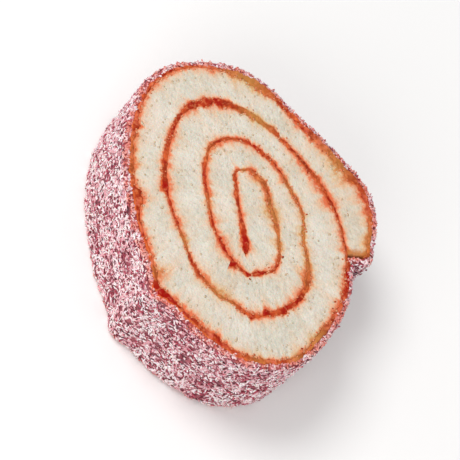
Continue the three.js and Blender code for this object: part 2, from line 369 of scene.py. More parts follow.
def soak_reach(turns):
    """How far the jelly has soaked into the sponge beside it, in millimetres, widened near turn 3.77 partly
    as painted shadow.
    """
    reach = SOAK_REACH * (1 + unevenness(flat(line_points(turns)), SOAK_UNEVENNESS))
    return np.clip(reach, *SOAK_LIMITS) + sum_of_bumps(FAR_SOAKED_AND_SHADOWED_PLACES, turns)


def face_lift(points):
    """The slow swells and the fine crumb of the sponge's cut faces, in millimetres."""
    return unevenness(points, FACE_UNEVENNESS)


# The model stands with the slice's middle over the origin, so the roll is moved to where its node is
END_TURN = TAIL_TURN - TAIL_CLEAR_TURNS
plain_turns = even_turns(CORE_TURN, END_TURN, PLAIN_LINE_STEP)
plain_reach = jelly_half(plain_turns)[:, None] * outward(plain_turns)
plain_edges = np.vstack((line_points(plain_turns) + plain_reach, line_points(plain_turns) - plain_reach))
node_low, node_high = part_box("jelly")
node_middle = np.array([(node_low[i] + node_high[i]) / 2 / MM for i in (0, 1)])
ROLL_SHIFT = node_middle - (plain_edges.min(0) + plain_edges.max(0)) / 2


def new_object(name, mesh):
    """A piece of the slice, with its place in its mesh."""
    mesh.name = name
    piece = bpy.data.objects.new(name, mesh)
    bpy.context.scene.collection.objects.link(piece)
    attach(piece, "root")
    return piece


def mesh_points(mesh):
    points = np.empty(len(mesh.vertices) * 3)
    mesh.vertices.foreach_get("co", points)
    return points.reshape(-1, 3)


def set_mesh_points(mesh, points):
    mesh.vertices.foreach_set("co", np.ascontiguousarray(points, float).ravel())
    mesh.update()


def add_attribute(mesh, name, values):
    """Gives each point of a mesh a value that its material reads."""
    layer = mesh.attributes.new(name, "FLOAT", "POINT")
    layer.data.foreach_set("value", np.asarray(values, float))


def slab(steps, cells, wall_cuts):
    """A flat slab from 0 to 1 each way, with a fine grid above and below and cuts in its walls."""
    bm = bmesh.new()
    bmesh.ops.create_grid(bm, x_segments=steps, y_segments=cells, size=0.5)
    bmesh.ops.translate(bm, vec=(0.5, 0.5, 0), verts=bm.verts)
    grown = bmesh.ops.extrude_face_region(bm, geom=bm.faces[:])
    top = [v for v in grown["geom"] if isinstance(v, bmesh.types.BMVert)]
    bmesh.ops.translate(bm, vec=(0, 0, 1), verts=top)
    upright = [e for e in bm.edges if abs(e.verts[0].co.z - e.verts[1].co.z) > 0.5]
    bmesh.ops.subdivide_edges(bm, edges=upright, cuts=wall_cuts, use_grid_fill=True)
    bmesh.ops.recalc_face_normals(bm, faces=bm.faces)
    mesh = bpy.data.meshes.new("slab")
    bm.to_mesh(mesh)
    bm.free()
    return mesh


def face_sign(level):
    """1 on a slab's upper face, -1 on its lower one and 0 on its walls."""
    return np.where(level > 0.99, 1, np.where(level < 0.01, -1, 0))


def sheet_edges(turns):
    """The sheet's inner edge, which follows one turn of jelly, and its outer edge, which follows the next."""
    lies_in_core = turns < CORE_TURN + 1
    core_share = (FOLD_TURN - CORE_TURN) / (CORE_TURN + 1 - FOLD_TURN)
    inner_turns = np.where(lies_in_core, FOLD_TURN - (turns - FOLD_TURN) * core_share, turns - 1)
    inner_turns = np.maximum(inner_turns, CORE_TURN)
    side = 2 * smoothstep(turns, *TURNS_OVER_AT) - 1
    inner_gap = np.where(side > 0, jelly_edge(inner_turns, 1), jelly_edge(inner_turns, -1))
    inner = line_points(inner_turns) + (side * inner_gap)[:, None] * outward(inner_turns)
    inner -= ((1 - side**2) * inner_gap)[:, None] * along_line(inner_turns)
    outer = line_points(turns) - jelly_edge(turns, -1)[:, None] * outward(turns)
    return inner, outer, inner_turns


def pore_depth(point):
    """How deep a pore is at a point, from 0 beside it to 1 in its middle."""
    near, centres = noise.voronoi(Vector(point) / PORE_SIZE)
    width = PORE_WIDTH + PORE_WIDTH_VARIES * noise.cell(centres[0] * PORE_SHUFFLE)
    return max(0.0, 1 - (near[0] / max(PORE_LEAST_WIDTH, width)) ** 2)


def sponge_mesh():
    """The rolled sheet, from the fold in the core to its outer end."""
    turns = even_turns(FOLD_TURN + FOLD_CLEAR_TURNS, END_TURN, SHEET_STEP)
    inner, outer, inner_turns = sheet_edges(turns)
    mesh = slab(len(turns) - 1, SHEET_CELLS, SHEET_WALL_CUTS)
    place = mesh_points(mesh)
    step = np.rint(place[:, 0] * (len(turns) - 1)).astype(int)
    across = place[:, 1]
    level = place[:, 2]
    width = np.linalg.norm(outer - inner, axis=1)[step]
    ease = across - CELLS_TO_EDGES * np.sin(2 * np.pi * across) / np.pi
    middle = inner[step] * (1 - ease)[:, None] + outer[step] * ease[:, None]
    nears_end = smoothstep(turns[step], END_TURN - TORN_TURNS, END_TURN)
    torn = TORN_DEPTH + unevenness(flat(middle, TORN_HEIGHT), TORN_END)
    middle -= (nears_end * np.clip(torn, 0, TORN_MOST))[:, None] * along_line(turns)[step]
    end_room = np.linalg.norm(line_points(turns[step]) - line_points(np.array([END_TURN])), axis=1)
    end_room = np.where(turns[step] > END_TURN - END_STAIN_TURNS, end_room, FAR_OFF)
    inner_room = ease * width
    outer_room = (1 - ease) * width
    points = np.column_stack((middle, level * SLICE_HEIGHT))

    # The crumb: slow swells, open pores, and an edge that sinks a little to the jelly
    sign = face_sign(level)
    lift = np.zeros(len(points))
    open_pore = np.zeros(len(points))
    faces = np.flatnonzero(sign)
    open_pore[faces] = [pore_depth(p) for p in points[faces]]
    lift[faces] = face_lift(points[faces]) - PORE_DEPTH * open_pore[faces]
    edge_room = np.minimum(inner_room, outer_room)[faces]
    lift[faces] -= EDGE_SINK * np.exp(-((edge_room / EDGE_SINK_WIDTH) ** 2))
    points[:, 2] += sign * lift
    points[:, 2] = np.where(sign < 0, np.maximum(points[:, 2], SHEET_FOOT), points[:, 2])

    points[:, :2] += ROLL_SHIFT
    set_mesh_points(mesh, points * MM)
    inner_soak = inner_room / soak_reach(inner_turns)[step]
    outer_soak = outer_room / (INNER_SIDE_SOAK * soak_reach(turns)[step])
    near_turns = np.where(inner_soak < outer_soak, inner_turns[step], turns[step])
    add_attribute(mesh, "dryness", np.minimum(inner_soak, outer_soak))
    add_attribute(mesh, "golden", np.clip(sum_of_bumps(GOLDEN_PLACES, near_turns), 0, 1))
    add_attribute(mesh, "end_room", end_room)
    add_attribute(mesh, "pore", open_pore)
    return mesh


def jelly_mesh():
    """The jelly between the turns. Past its own edge it dips below the sponge."""
    turns = even_turns(CORE_TURN, END_TURN, JELLY_STEP)
    mesh = slab(len(turns) - 1, JELLY_CELLS, JELLY_WALL_CUTS)
    place = mesh_points(mesh)
    step = np.rint(place[:, 0] * (len(turns) - 1)).astype(int)
    across = 2 * place[:, 1] - 1
    level = place[:, 2]
    outer_reach = jelly_edge(turns, 1)[step] + JELLY_OVERLAP
    inner_reach = jelly_edge(turns, -1)[step] + JELLY_OVERLAP
    reach = across * np.where(across > 0, outer_reach, inner_reach)
    middle = line_points(turns)[step] + reach[:, None] * outward(turns)[step]
    points = np.column_stack((middle, level * SLICE_HEIGHT))
    sign = face_sign(level)
    thick = np.clip(outer_reach + inner_reach - 2 * JELLY_OVERLAP, 0, THICKEST_CROWN)
    past_edge = np.abs(reach) - np.where(across > 0, outer_reach, inner_reach) + JELLY_OVERLAP
    crown = JELLY_CROWN * thick - JELLY_SINK - PAST_EDGE_DIP * smoothstep(past_edge, *PAST_EDGE_DIPS_AT)
    wet = unevenness(points, JELLY_UNEVENNESS)
    points[:, 2] += sign * (face_lift(points) + crown + wet)
    points[:, 2] = np.where(sign < 0, np.maximum(points[:, 2], JELLY_FOOT), points[:, 2])
    points[:, :2] += ROLL_SHIFT
    set_mesh_points(mesh, points * MM)
    add_attribute(mesh, "deep_red", np.clip(sum_of_bumps(DEEP_RED_PLACES, turns), 0, 1)[step])
    add_attribute(mesh, "golden", np.clip(sum_of_bumps(GOLDEN_PLACES, turns), 0, 1)[step])
    add_attribute(mesh, "at_edge", np.clip(1 + past_edge / EDGE_BAND, 0, FURTHEST_PAST_EDGE))
    add_attribute(mesh, "at_rim", smoothstep(turns, RIM_TURN, RIM_TURN + RIM_BLEND_TURNS)[step])
    return mesh


def coat_outline(count):
    """The coat's inner outline, round the outermost turn and over the sheet's end, and its way out."""
    turns = even_turns(TAIL_TURN - 1, TAIL_TURN, COAT_LINE_STEP)
    points = line_points(turns) + jelly_half(turns)[:, None] * outward(turns)
    points = np.vstack((points, points[:1]))
    reach = np.concatenate(([0], np.cumsum(np.linalg.norm(np.diff(points, axis=0), axis=1))))
    wanted = np.arange(count) / count * reach[-1]
    outline = np.column_stack([np.interp(wanted, reach, points[:, i]) for i in (0, 1)])
    for _ in range(COAT_SMOOTHINGS):
        outline = (np.roll(outline, 1, 0) + 2 * outline + np.roll(outline, -1, 0)) / 4
    along = np.roll(outline, -1, 0) - np.roll(outline, 1, 0)
    along /= np.linalg.norm(along, axis=1, keepdims=True)
    away = np.column_stack((-along[:, 1], along[:, 0]))
    return outline + ROLL_SHIFT, away


def coat_relief(points):
    """How uneven the coat's outer wall is."""
    return unevenness(points, COAT_UNEVENNESS)


def coat_mesh():
    """The rough base that the shreds lie on, spun as a plain ring and then laid round the roll."""
    outline, away = coat_outline(COAT_STEPS_AROUND)
    bm = bmesh.new()
    low = COAT_END_ROOM
    high = SLICE_HEIGHT - COAT_END_ROOM

    # The ring's wall goes from 1 to 2 from its axis, which says how far through the coat a point is
    profile = [(1 + i / COAT_RIM_STEPS, low) for i in range(COAT_RIM_STEPS)]
    profile += [(2, low + (high - low) * i / COAT_STEPS_UP) for i in range(COAT_STEPS_UP + 1)]
    profile += [(2 - i / COAT_RIM_STEPS, high) for i in range(1, COAT_RIM_STEPS + 1)]
    loop = [bm.verts.new((x, 0, z)) for x, z in profile]
    edges = [bm.edges.new((loop[i], loop[(i + 1) % len(loop)])) for i in range(len(loop))]
    bmesh.ops.spin(
        bm, geom=loop + edges, cent=(0, 0, 0), axis=(0, 0, 1), angle=2 * math.pi,
        steps=COAT_STEPS_AROUND, use_merge=True,
    )
    bmesh.ops.remove_doubles(bm, verts=bm.verts, dist=1e-5)
    bmesh.ops.recalc_face_normals(bm, faces=bm.faces)
    mesh = bpy.data.meshes.new("coat")
    bm.to_mesh(mesh)
    bm.free()
    place = mesh_points(mesh)
    angle = np.arctan2(place[:, 1], place[:, 0]) / (2 * np.pi)
    step = np.rint(-angle * COAT_STEPS_AROUND).astype(int) % COAT_STEPS_AROUND
    wall = np.hypot(place[:, 0], place[:, 1]) - 1
    points = np.column_stack((outline[step], place[:, 2]))
    relief = coat_relief(points)
    edge = np.minimum(place[:, 2] - low, high - place[:, 2])
    reach = COAT_THICKNESS + relief - COAT_ROUNDING * np.exp(-((edge / COAT_ROUNDING_HEIGHT) ** 2))
    out = wall * (reach + COAT_INNER_DEPTH) - COAT_INNER_DEPTH
    points[:, :2] += out[:, None] * away[step]
    rim = np.where(edge < 0.01, np.sign(place[:, 2] - SLICE_HEIGHT / 2), 0)
    points[:, 2] += rim * (unevenness(points, COAT_RIM_UNEVENNESS) - COAT_RIM_SLOPE * wall)
    set_mesh_points(mesh, points * MM)
    return mesh


def shred_template():
    """A tapering, twisted flake of coconut, one unit long."""
    bm = bmesh.new()
    bmesh.ops.create_cube(bm, size=1)
    tip = [v for v in bm.verts if v.co.x > 0]
    bmesh.ops.scale(bm, vec=SHRED_TIP_SCALE, verts=tip)
    bmesh.ops.rotate(bm, cent=(0, 0, 0), matrix=Matrix.Rotation(SHRED_TWIST, 3, "X"), verts=tip)
    bmesh.ops.triangulate(bm, faces=bm.faces)
    bmesh.ops.recalc_face_normals(bm, faces=bm.faces)
    bm.verts.ensure_lookup_table()
    points = np.array([v.co[:] for v in bm.verts])
    faces = np.array([[v.index for v in f.verts] for f in bm.faces])
    bm.free()
    return points, faces


def many(name, template, placed):
    """One mesh of many copies: each placed with its sizes, three axes and middle."""
    points, faces = template
    sizes, axes, middles = placed
    copies = np.einsum("nij,pj,nj->npi", axes, points, sizes) + middles[:, None, :]
    order = faces[None] + (np.arange(len(middles)) * len(points))[:, None, None]
    mesh = bpy.data.meshes.new(name)
    mesh.vertices.add(copies.shape[0] * copies.shape[1])
    mesh.vertices.foreach_set("co", (copies * MM).ravel())
    mesh.loops.add(order.size)
    mesh.loops.foreach_set("vertex_index", order.ravel().astype(np.int32))
    mesh.polygons.add(order.size // 3)
    mesh.polygons.foreach_set("loop_start", np.arange(0, order.size, 3, dtype=np.int32))
    mesh.update(calc_edges=True)
    mesh.validate()
    shade = np.repeat(np.random.default_rng(len(middles)).random(len(middles)), len(points))
    add_attribute(mesh, "shade", shade)
    return mesh


def scattered_shreds(count, seed):
    """Shreds lying all ways on the coat's outer wall and on its two rims: their sizes, axes and middles."""
    rng = np.random.default_rng(seed)
    outline, away = coat_outline(SHRED_PLACES_AROUND)
    tried = 2 * count
    step = rng.integers(0, SHRED_PLACES_AROUND, tried)
    z = rng.uniform(SHRED_LOWEST, SHRED_HIGHEST, tried)
    clumps = ragged(np.column_stack((outline[step], z)), SHRED_CLUMP_SIZE, seed, 2)
    thickly = np.clip(1 + SHRED_CLUMPING * clumps, THINLY, None)
    kept = rng.choice(tried, count, replace=False, p=thickly / thickly.sum())
    step = step[kept]
    z = z[kept]
    wall_out = np.column_stack((away[step], np.zeros(count)))
    on_rim = rng.random(count) < RIM_SHRED_SHARE
    upper = rng.random(count) < 0.5
    rim_out = np.where(upper, 1.0, -1.0)[:, None] * np.array([0, 0, 1.0])
    z = np.where(on_rim, np.where(upper, RIM_SHRED_UPPER, RIM_SHRED_LOWER), z)
    foot = np.column_stack((outline[step], z))
    stand = COAT_THICKNESS + coat_relief(foot)
    nearer_end = np.minimum(z, SLICE_HEIGHT - z)
    stand -= COAT_ROUNDING * np.exp(-((nearer_end / SHRED_ROUNDING_HEIGHT) ** 2))
    reach = np.where(on_rim, rng.uniform(*RIM_SHRED_REACH, count), 1.0)
    foot += (reach * stand)[:, None] * wall_out
    out = np.where(on_rim[:, None], rim_out, wall_out)
    around = np.cross(np.array([0, 0, 1.0]), wall_out)
    cross = np.cross(out, around)
    sizes = np.column_stack((
        rng.uniform(*SHRED_LENGTH, count) * np.where(on_rim, RIM_SHRED_SHORTER, 1.0),
        rng.uniform(*SHRED_WIDTH, count),
        rng.uniform(*SHRED_THICKNESS, count),
    ))
    turn = rng.uniform(0, 2 * np.pi, count)
    lean = rng.normal(0, SHRED_LEAN, count)
    long_way = np.cos(turn)[:, None] * around + np.sin(turn)[:, None] * cross
    long_way = np.cos(lean)[:, None] * long_way + np.sin(lean)[:, None] * out
    side = np.cross(out, long_way)
    side /= np.linalg.norm(side, axis=1, keepdims=True)
    roll = rng.normal(0, SHRED_ROLL, count)
    up = np.cross(long_way, side)
    side, up = (
        np.cos(roll)[:, None] * side + np.sin(roll)[:, None] * up,
        np.cos(roll)[:, None] * up - np.sin(roll)[:, None] * side,
    )
    rise = np.where(on_rim, rng.uniform(*RIM_SHRED_RISE, count), rng.uniform(*SHRED_RISE, count))
    middles = foot + rise[:, None] * out
    axes = np.stack((long_way, side, up), -1)
    half_height = (np.abs(axes[:, 2]) * sizes / 2).sum(1)
    middles[:, 2] = np.maximum(middles[:, 2], half_height)
    return sizes, axes, middles


def blob_template(seed):
    """A small uneven lump, one unit across."""
    bm = bmesh.new()
    bmesh.ops.create_icosphere(bm, subdivisions=1, radius=0.5)
    for v in bm.verts:
        v.co *= 1 + LUMP_UNEVENNESS * noise.noise(v.co * LUMP_BUMPS + Vector((seed, 0, 0)))
    points = np.array([v.co[:] for v in bm.verts])
    faces = np.array([[v.index for v in f.verts] for f in bm.faces])
    bm.free()
    return points, faces


def spread_turns(rng, count):
    """Random turns, spread evenly along the whole line."""
    return np.sqrt(rng.uniform(*LUMP_TURN_SQUARES, count))


def apart_from_jelly(rng, turns, reach):
    """Distances to either side of the jelly line, but never out into the coat."""
    off = rng.choice([-1, 1], len(turns)) * rng.uniform(*reach, len(turns))
    return np.where(turns > COATED_FROM_TURN, -np.abs(off), off)


def at_jelly_edge(rng, turns, spread):
    """Distances that keep close to the jelly's own ragged edges."""
    side = rng.choice([-1, 1], len(turns))
    side = np.where(turns > COATED_FROM_TURN, -1, side)
    edge = np.where(side > 0, jelly_edge(turns, 1), jelly_edge(turns, -1))
    return side * (edge + rng.normal(*spread, len(turns)))


def lumps_on_face(rng, turns, off, size, height):
    """Small lumps on the shown cut face, at distances from the jelly line: their sizes, axes and middles."""
    count = len(turns)
    spot = line_points(turns) + off[:, None] * outward(turns)
    top = SLICE_HEIGHT + face_lift(flat(spot, SLICE_HEIGHT))
    broad = rng.uniform(*size, count)
    stretch = rng.uniform(*LUMP_STRETCH, count)
    sizes = np.column_stack((broad * stretch, broad, rng.uniform(*height, count)))
    spin = rng.uniform(0, 2 * np.pi, count)
    axes = np.zeros((count, 3, 3))
    axes[:, 0, 0] = axes[:, 1, 1] = np.cos(spin)
    axes[:, 1, 0] = np.sin(spin)
    axes[:, 0, 1] = -np.sin(spin)
    axes[:, 2, 2] = 1
    return sizes, axes, np.column_stack((spot + ROLL_SHIFT, top))


# Colours, from 0 to 255 as seen on screen
CREAM_SPONGE = (220, 212, 198)
DEEP_CREAM_SPONGE = (202, 195, 178)
PALE_CRUMB = (230, 221, 207)
# Painted shade inside the sponge's pores
PAINTED_PORE_SHADOW = (188, 172, 148)
PINK_TINGE = (230, 196, 180)
WIDE_STAIN = (222, 184, 146)
FAINT_STAIN = (230, 172, 132)
FAINT_GOLDEN_STAIN = (218, 176, 118)
STRONG_STAIN = (222, 98, 48)
STRONG_GOLDEN_STAIN = (190, 122, 52)
BROWN_SHEET_END = (192, 114, 44)
LOOSE_CRUMB = (214, 196, 170)
LOOSE_BROWN_CRUMB = (196, 170, 138)
LOOSE_PALE_CRUMB = (222, 206, 184)
SOAKED_CRUMB = (232, 164, 122)
SOAKED_RED_CRUMB = (206, 94, 50)
SOAKED_ORANGE_CRUMB = (220, 124, 76)
RED_JELLY = (154, 24, 5)
ORANGE_JELLY = (210, 92, 44)
BROWN_JELLY = (152, 66, 28)
DARK_JELLY = (146, 44, 16)
RIM_JELLY = (222, 112, 82)
DEEP_RED_JELLY = (160, 12, 1)
THIN_JELLY = (214, 106, 52)
GOLDEN_JELLY = (190, 130, 66)
PALE_JELLY_GRAINS = (228, 132, 84)
# The coat's plum base: its darkness is partly painted shade between the shreds
DARK_COAT_WITH_PAINTED_SHADE = (108, 48, 60)
ROSY_COAT = (168, 86, 96)
COAT_BY_JELLY = (206, 84, 62)
SHREDS_BY_JELLY = (228, 122, 98)
WHITE_SHREDS = ((255, 244, 244), (240, 212, 214))
PINK_SHREDS = ((238, 188, 194), (216, 150, 160))
CRIMSON_SHREDS = ((198, 80, 102), (134, 46, 64))
FLOOR = (250, 249, 248)


# Materials

NOISE_ROUGHNESS = 0.55
GRIT_SCALE = 1.15
GRIT_DEPTH = 0.6
# How dark the painted shade in the deepest pores is
MOST_PAINTED_PORE_SHADOW = 0.35
MOST_GOLDEN = 0.85
STAIN_NOISES = ((420.0, 3.0), (130.0, 2.0), (1100.0, 2.0))


def linear(color):
    """A colour as seen on screen, for a shader, by the sRGB curve."""
    values = [c / 255 for c in color]
    return (*(c / 12.92 if c <= 0.04045 else ((c + 0.055) / 1.055) ** 2.4 for c in values), 1.0)


class Nodes:
    """Short calls for making the nodes of one tree."""

    def __init__(self, tree):
        self.tree = tree

    def add(self, kind, **settings):
        node = self.tree.nodes.new(kind)
        for key, value in settings.items():
            setattr(node, key, value)
        return node

    def put(self, value, socket):
        """Links a socket, or sets a number or a colour as seen on screen."""
        if isinstance(value, bpy.types.NodeSocket):
            self.tree.links.new(value, socket)
        else:
            socket.default_value = linear(value) if isinstance(value, tuple) else value

    def noise(self, place, scale, detail=3.0):
        node = self.add("ShaderNodeTexNoise")
        self.put(place, node.inputs["Vector"])
        self.put(scale, node.inputs["Scale"])
        node.inputs["Detail"].default_value = detail
        node.inputs["Roughness"].default_value = NOISE_ROUGHNESS
        return node.outputs["Fac"]

    def ramp(self, value, low, high, from_low=0.0, from_high=1.0):
        """A smooth step from one number at low to another at high."""
        node = self.add("ShaderNodeMapRange", interpolation_type="SMOOTHSTEP")
        for socket, number in zip(node.inputs, (value, low, high, from_low, from_high)):
            self.put(number, socket)
        return node.outputs["Result"]

    def math(self, operation, first, second=0.0):
        node = self.add("ShaderNodeMath", operation=operation)
        self.put(first, node.inputs[0])
        self.put(second, node.inputs[1])
        return node.outputs[0]

    def mix(self, share, first, second):
        """Mixes two colours. A Mix node's sockets for colours come after those for numbers and vectors."""
        node = self.add("ShaderNodeMix", data_type="RGBA")
        self.put(share, node.inputs["Factor"])
        self.put(first, node.inputs[6])
        self.put(second, node.inputs[7])
        return node.outputs[2]


def new_effect(name, numbers, output):
    """A node group that reads a place and named numbers, with its nodes, its inputs and its output socket."""
    tree = bpy.data.node_groups.new(name, "ShaderNodeTree")
    tree.interface.new_socket("Place", in_out="INPUT", socket_type="NodeSocketVector")
    for number in numbers:
        tree.interface.new_socket(number, in_out="INPUT", socket_type="NodeSocketFloat")
    tree.interface.new_socket(output, in_out="OUTPUT", socket_type="NodeSocketFloat")
    nodes = Nodes(tree)
    return nodes, nodes.add("NodeGroupInput").outputs, nodes.add("NodeGroupOutput").inputs[0]


def uneven_patches():
    """Soft patches of one size."""
    nodes, given, result = new_effect("uneven_patches", ("Scale", "Low", "High", "Most"), "Mask")
    patches = nodes.noise(given["Place"], given["Scale"])
    nodes.put(nodes.ramp(patches, given["Low"], given["High"], 0.0, given["Most"]), result)
    return nodes.tree


def fine_grain():
    """The height of small grains with finer noise on them."""
    nodes, given, result = new_effect("fine_grain", ("Scale",), "Height")
    grit = nodes.add("ShaderNodeTexVoronoi")
    nodes.put(given["Place"], grit.inputs["Vector"])
    nodes.put(nodes.math("MULTIPLY", given["Scale"], GRIT_SCALE), grit.inputs["Scale"])
    height = nodes.math("MULTIPLY", grit.outputs["Distance"], GRIT_DEPTH)
    nodes.put(nodes.math("ADD", height, nodes.noise(given["Place"], given["Scale"])), result)
    return nodes.tree


def soaked_in():
    """A stain that fades with the distance from where it starts, unevenly."""
    numbers = ("Distance", "Unevenness", "Faint", "Strong", "Most")
    nodes, given, result = new_effect("soaked_in", numbers, "Mask")
    middle = len(STAIN_NOISES) / 2
    uneven = -middle
    for scale, detail in STAIN_NOISES:
        uneven = nodes.math("ADD", uneven, nodes.noise(given["Place"], scale, detail))
    uneven = nodes.math("MULTIPLY", uneven, given["Unevenness"])
    distance = nodes.math("ADD", given["Distance"], uneven)
    nodes.put(nodes.ramp(distance, given["Faint"], given["Strong"], 0.0, given["Most"]), result)
    return nodes.tree


EFFECTS = {"uneven_patches": uneven_patches(), "fine_grain": fine_grain(), "soaked_in": soaked_in()}


class Finish(Nodes):
    """A material of the slice, with its own colours and the effects that it shares with others."""

    def __init__(self, name):
        self.material = bpy.data.materials.new(name)
        self.material.use_nodes = True
        super().__init__(self.material.node_tree)
        self.shader = self.tree.nodes["Principled BSDF"]
        self.place = self.add("ShaderNodeTexCoord").outputs["Object"]

    def effect(self, name, **numbers):
        node = self.add("ShaderNodeGroup", node_tree=EFFECTS[name])
        self.put(self.place, node.inputs["Place"])
        for key, value in numbers.items():
            self.put(value, node.inputs[key])
        return node.outputs[0]

    def patches(self, scale, low, high, most=1.0):
        """A mask that rises from 0 to most where the noise rises from low to high."""
        return self.effect("uneven_patches", Scale=scale, Low=low, High=high, Most=most)

    def soaked(self, distance, unevenness, faint, strong, most):
        """A mask that rises from 0 at the distance faint to most at the distance strong."""
        return self.effect(
            "soaked_in", Distance=distance, Unevenness=unevenness, Faint=faint, Strong=strong, Most=most
        )

    def attribute(self, name):
        return self.add("ShaderNodeAttribute", attribute_name=name).outputs["Fac"]

    def near_faces(self, reach, most):
        """A mask that is strongest at the slice's two cut faces."""
        split = self.add("ShaderNodeSeparateXYZ")
        self.put(self.place, split.inputs[0])
        middle = SLICE_HEIGHT * MM / 2
        from_middle = self.math("ABSOLUTE", self.math("SUBTRACT", split.outputs["Z"], middle))
        return self.ramp(from_middle, middle - reach * MM, middle, 0.0, most)

    def grain(self, scale, depth, strength):
        """The normal of a fine grain, with its depth in metres."""
        node = self.add("ShaderNodeBump")
        self.put(self.effect("fine_grain", Scale=scale), node.inputs["Height"])
        node.inputs["Distance"].default_value = depth
        node.inputs["Strength"].default_value = strength
        return node.outputs["Normal"]

    def finish(self, color, roughness, normal=None, **sockets):
        """Feeds the shader, sets its other sockets by name, and gives the material."""
        self.put(color, self.shader.inputs["Base Color"])
        self.put(roughness, self.shader.inputs["Roughness"])
        if normal:
            self.put(normal, self.shader.inputs["Normal"])
        for name, value in sockets.items():
            self.put(value, self.shader.inputs[name.replace("_", " ")])
        return self.material


def sponge_finish():
    """Cream crumb with painted shade in its pores, stained where jelly has soaked in and brown at the sheet's
    end.
    """
    look = Finish("cream_sponge")
    color = look.mix(look.patches(scale=110, low=0.3, high=0.7), CREAM_SPONGE, DEEP_CREAM_SPONGE)
    color = look.mix(look.patches(scale=900, low=0.35, high=0.7, most=0.5), color, PALE_CRUMB)
    # Painted shade: the pores are darkened towards their deepest middles, where shade falls
    color = look.mix(look.math("MULTIPLY", look.attribute("pore"), MOST_PAINTED_PORE_SHADOW), color, PAINTED_PORE_SHADOW)
    color = look.mix(look.patches(scale=65, low=0.52, high=0.72, most=0.28), color, PINK_TINGE)
    dryness = look.attribute("dryness")
    golden = look.attribute("golden")
    faint_stain = look.mix(golden, FAINT_STAIN, FAINT_GOLDEN_STAIN)
    strong_stain = look.mix(golden, STRONG_STAIN, STRONG_GOLDEN_STAIN)
    widely = look.soaked(dryness, unevenness=3.5, faint=5.0, strong=0.5, most=0.38)
    color = look.mix(widely, color, WIDE_STAIN)
    faintly = look.soaked(dryness, unevenness=1.5, faint=2.0, strong=0.3, most=0.8)
    color = look.mix(faintly, color, faint_stain)
    strongly = look.soaked(dryness, unevenness=1.2, faint=0.95, strong=0.0, most=0.9)
    color = look.mix(strongly, color, strong_stain)
    at_end = look.soaked(look.attribute("end_room"), unevenness=1.6, faint=2.6, strong=0.6, most=0.9)
    color = look.mix(at_end, color, BROWN_SHEET_END)
    return look.finish(
        color, roughness=0.85, normal=look.grain(scale=1300, depth=0.0003, strength=0.7),
        Subsurface_Weight=0.12, Subsurface_Scale=0.0015,
    )


def crumb_finish():
    """Loose crumbs of dry sponge."""
    look = Finish("loose_crumb")
    color = look.mix(look.attribute("shade"), LOOSE_CRUMB, LOOSE_BROWN_CRUMB)
    color = look.mix(look.patches(scale=600, low=0.4, high=0.7, most=0.4), color, LOOSE_PALE_CRUMB)
    normal = look.grain(scale=1500, depth=0.0002, strength=0.6)
    return look.finish(color, roughness=0.9, normal=normal)


def soaked_crumb_finish():
    """Loose crumbs of sponge that jelly has soaked."""
    look = Finish("soaked_crumb")
    color = look.mix(look.attribute("shade"), SOAKED_CRUMB, SOAKED_RED_CRUMB)
    color = look.mix(look.patches(scale=700, low=0.4, high=0.65, most=0.5), color, SOAKED_ORANGE_CRUMB)
    return look.finish(
        color, roughness=0.7, normal=look.grain(scale=1500, depth=0.0002, strength=0.6),
        Subsurface_Weight=0.1, Subsurface_Scale=0.0008,
    )


def jelly_finish():
    """Red jelly that is patchy, thinner at its edges, and golden or deep red in places."""
    look = Finish("red_jelly")
    color = look.mix(look.patches(scale=260, low=0.42, high=0.58), RED_JELLY, ORANGE_JELLY)
    color = look.mix(look.patches(scale=150, low=0.42, high=0.68, most=0.6), color, BROWN_JELLY)
    color = look.mix(look.patches(scale=340, low=0.48, high=0.6, most=0.6), color, DARK_JELLY)
    rim_patches = look.patches(scale=240, low=0.48, high=0.6, most=0.8)
    color = look.mix(look.math("MULTIPLY", look.attribute("at_rim"), rim_patches), color, RIM_JELLY)
    deep_patches = look.patches(scale=220, low=0.25, high=0.5)
    color = look.mix(look.math("MULTIPLY", look.attribute("deep_red"), deep_patches), color, DEEP_RED_JELLY)
    edge_patches = look.patches(scale=600, low=0.3, high=0.7, most=0.5)
    edge = look.math("ADD", look.attribute("at_edge"), edge_patches)
    color = look.mix(look.ramp(edge, low=0.75, high=1.35, from_high=0.85), color, THIN_JELLY)
    color = look.mix(look.math("MULTIPLY", look.attribute("golden"), MOST_GOLDEN), color, GOLDEN_JELLY)
    color = look.mix(look.patches(scale=950, low=0.5, high=0.68, most=0.45), color, PALE_JELLY_GRAINS)
    dull_patches = look.patches(scale=260, low=0.2, high=0.8)
    return look.finish(
        color, roughness=look.ramp(dull_patches, low=0.0, high=1.0, from_low=0.35, from_high=0.6),
        normal=look.grain(scale=700, depth=0.0003, strength=0.5),
        Specular_IOR_Level=0.1, Subsurface_Weight=0.08, Subsurface_Scale=0.001,
    )


def coat_finish():
    """The sticky base of the coat, dark partly as painted shade between the shreds, with more jelly near the
    cut faces.
    """
    look = Finish("jelly_soaked_coat_with_painted_shade")
    # Painted shade: the base between the shreds is made dark plum, rosier in patches
    color = look.mix(look.patches(scale=300, low=0.35, high=0.65), DARK_COAT_WITH_PAINTED_SHADE, ROSY_COAT)
    color = look.mix(look.near_faces(reach=1.6, most=0.8), color, COAT_BY_JELLY)
    normal = look.grain(scale=900, depth=0.0004, strength=0.8)
    return look.finish(color, roughness=0.6, normal=normal)


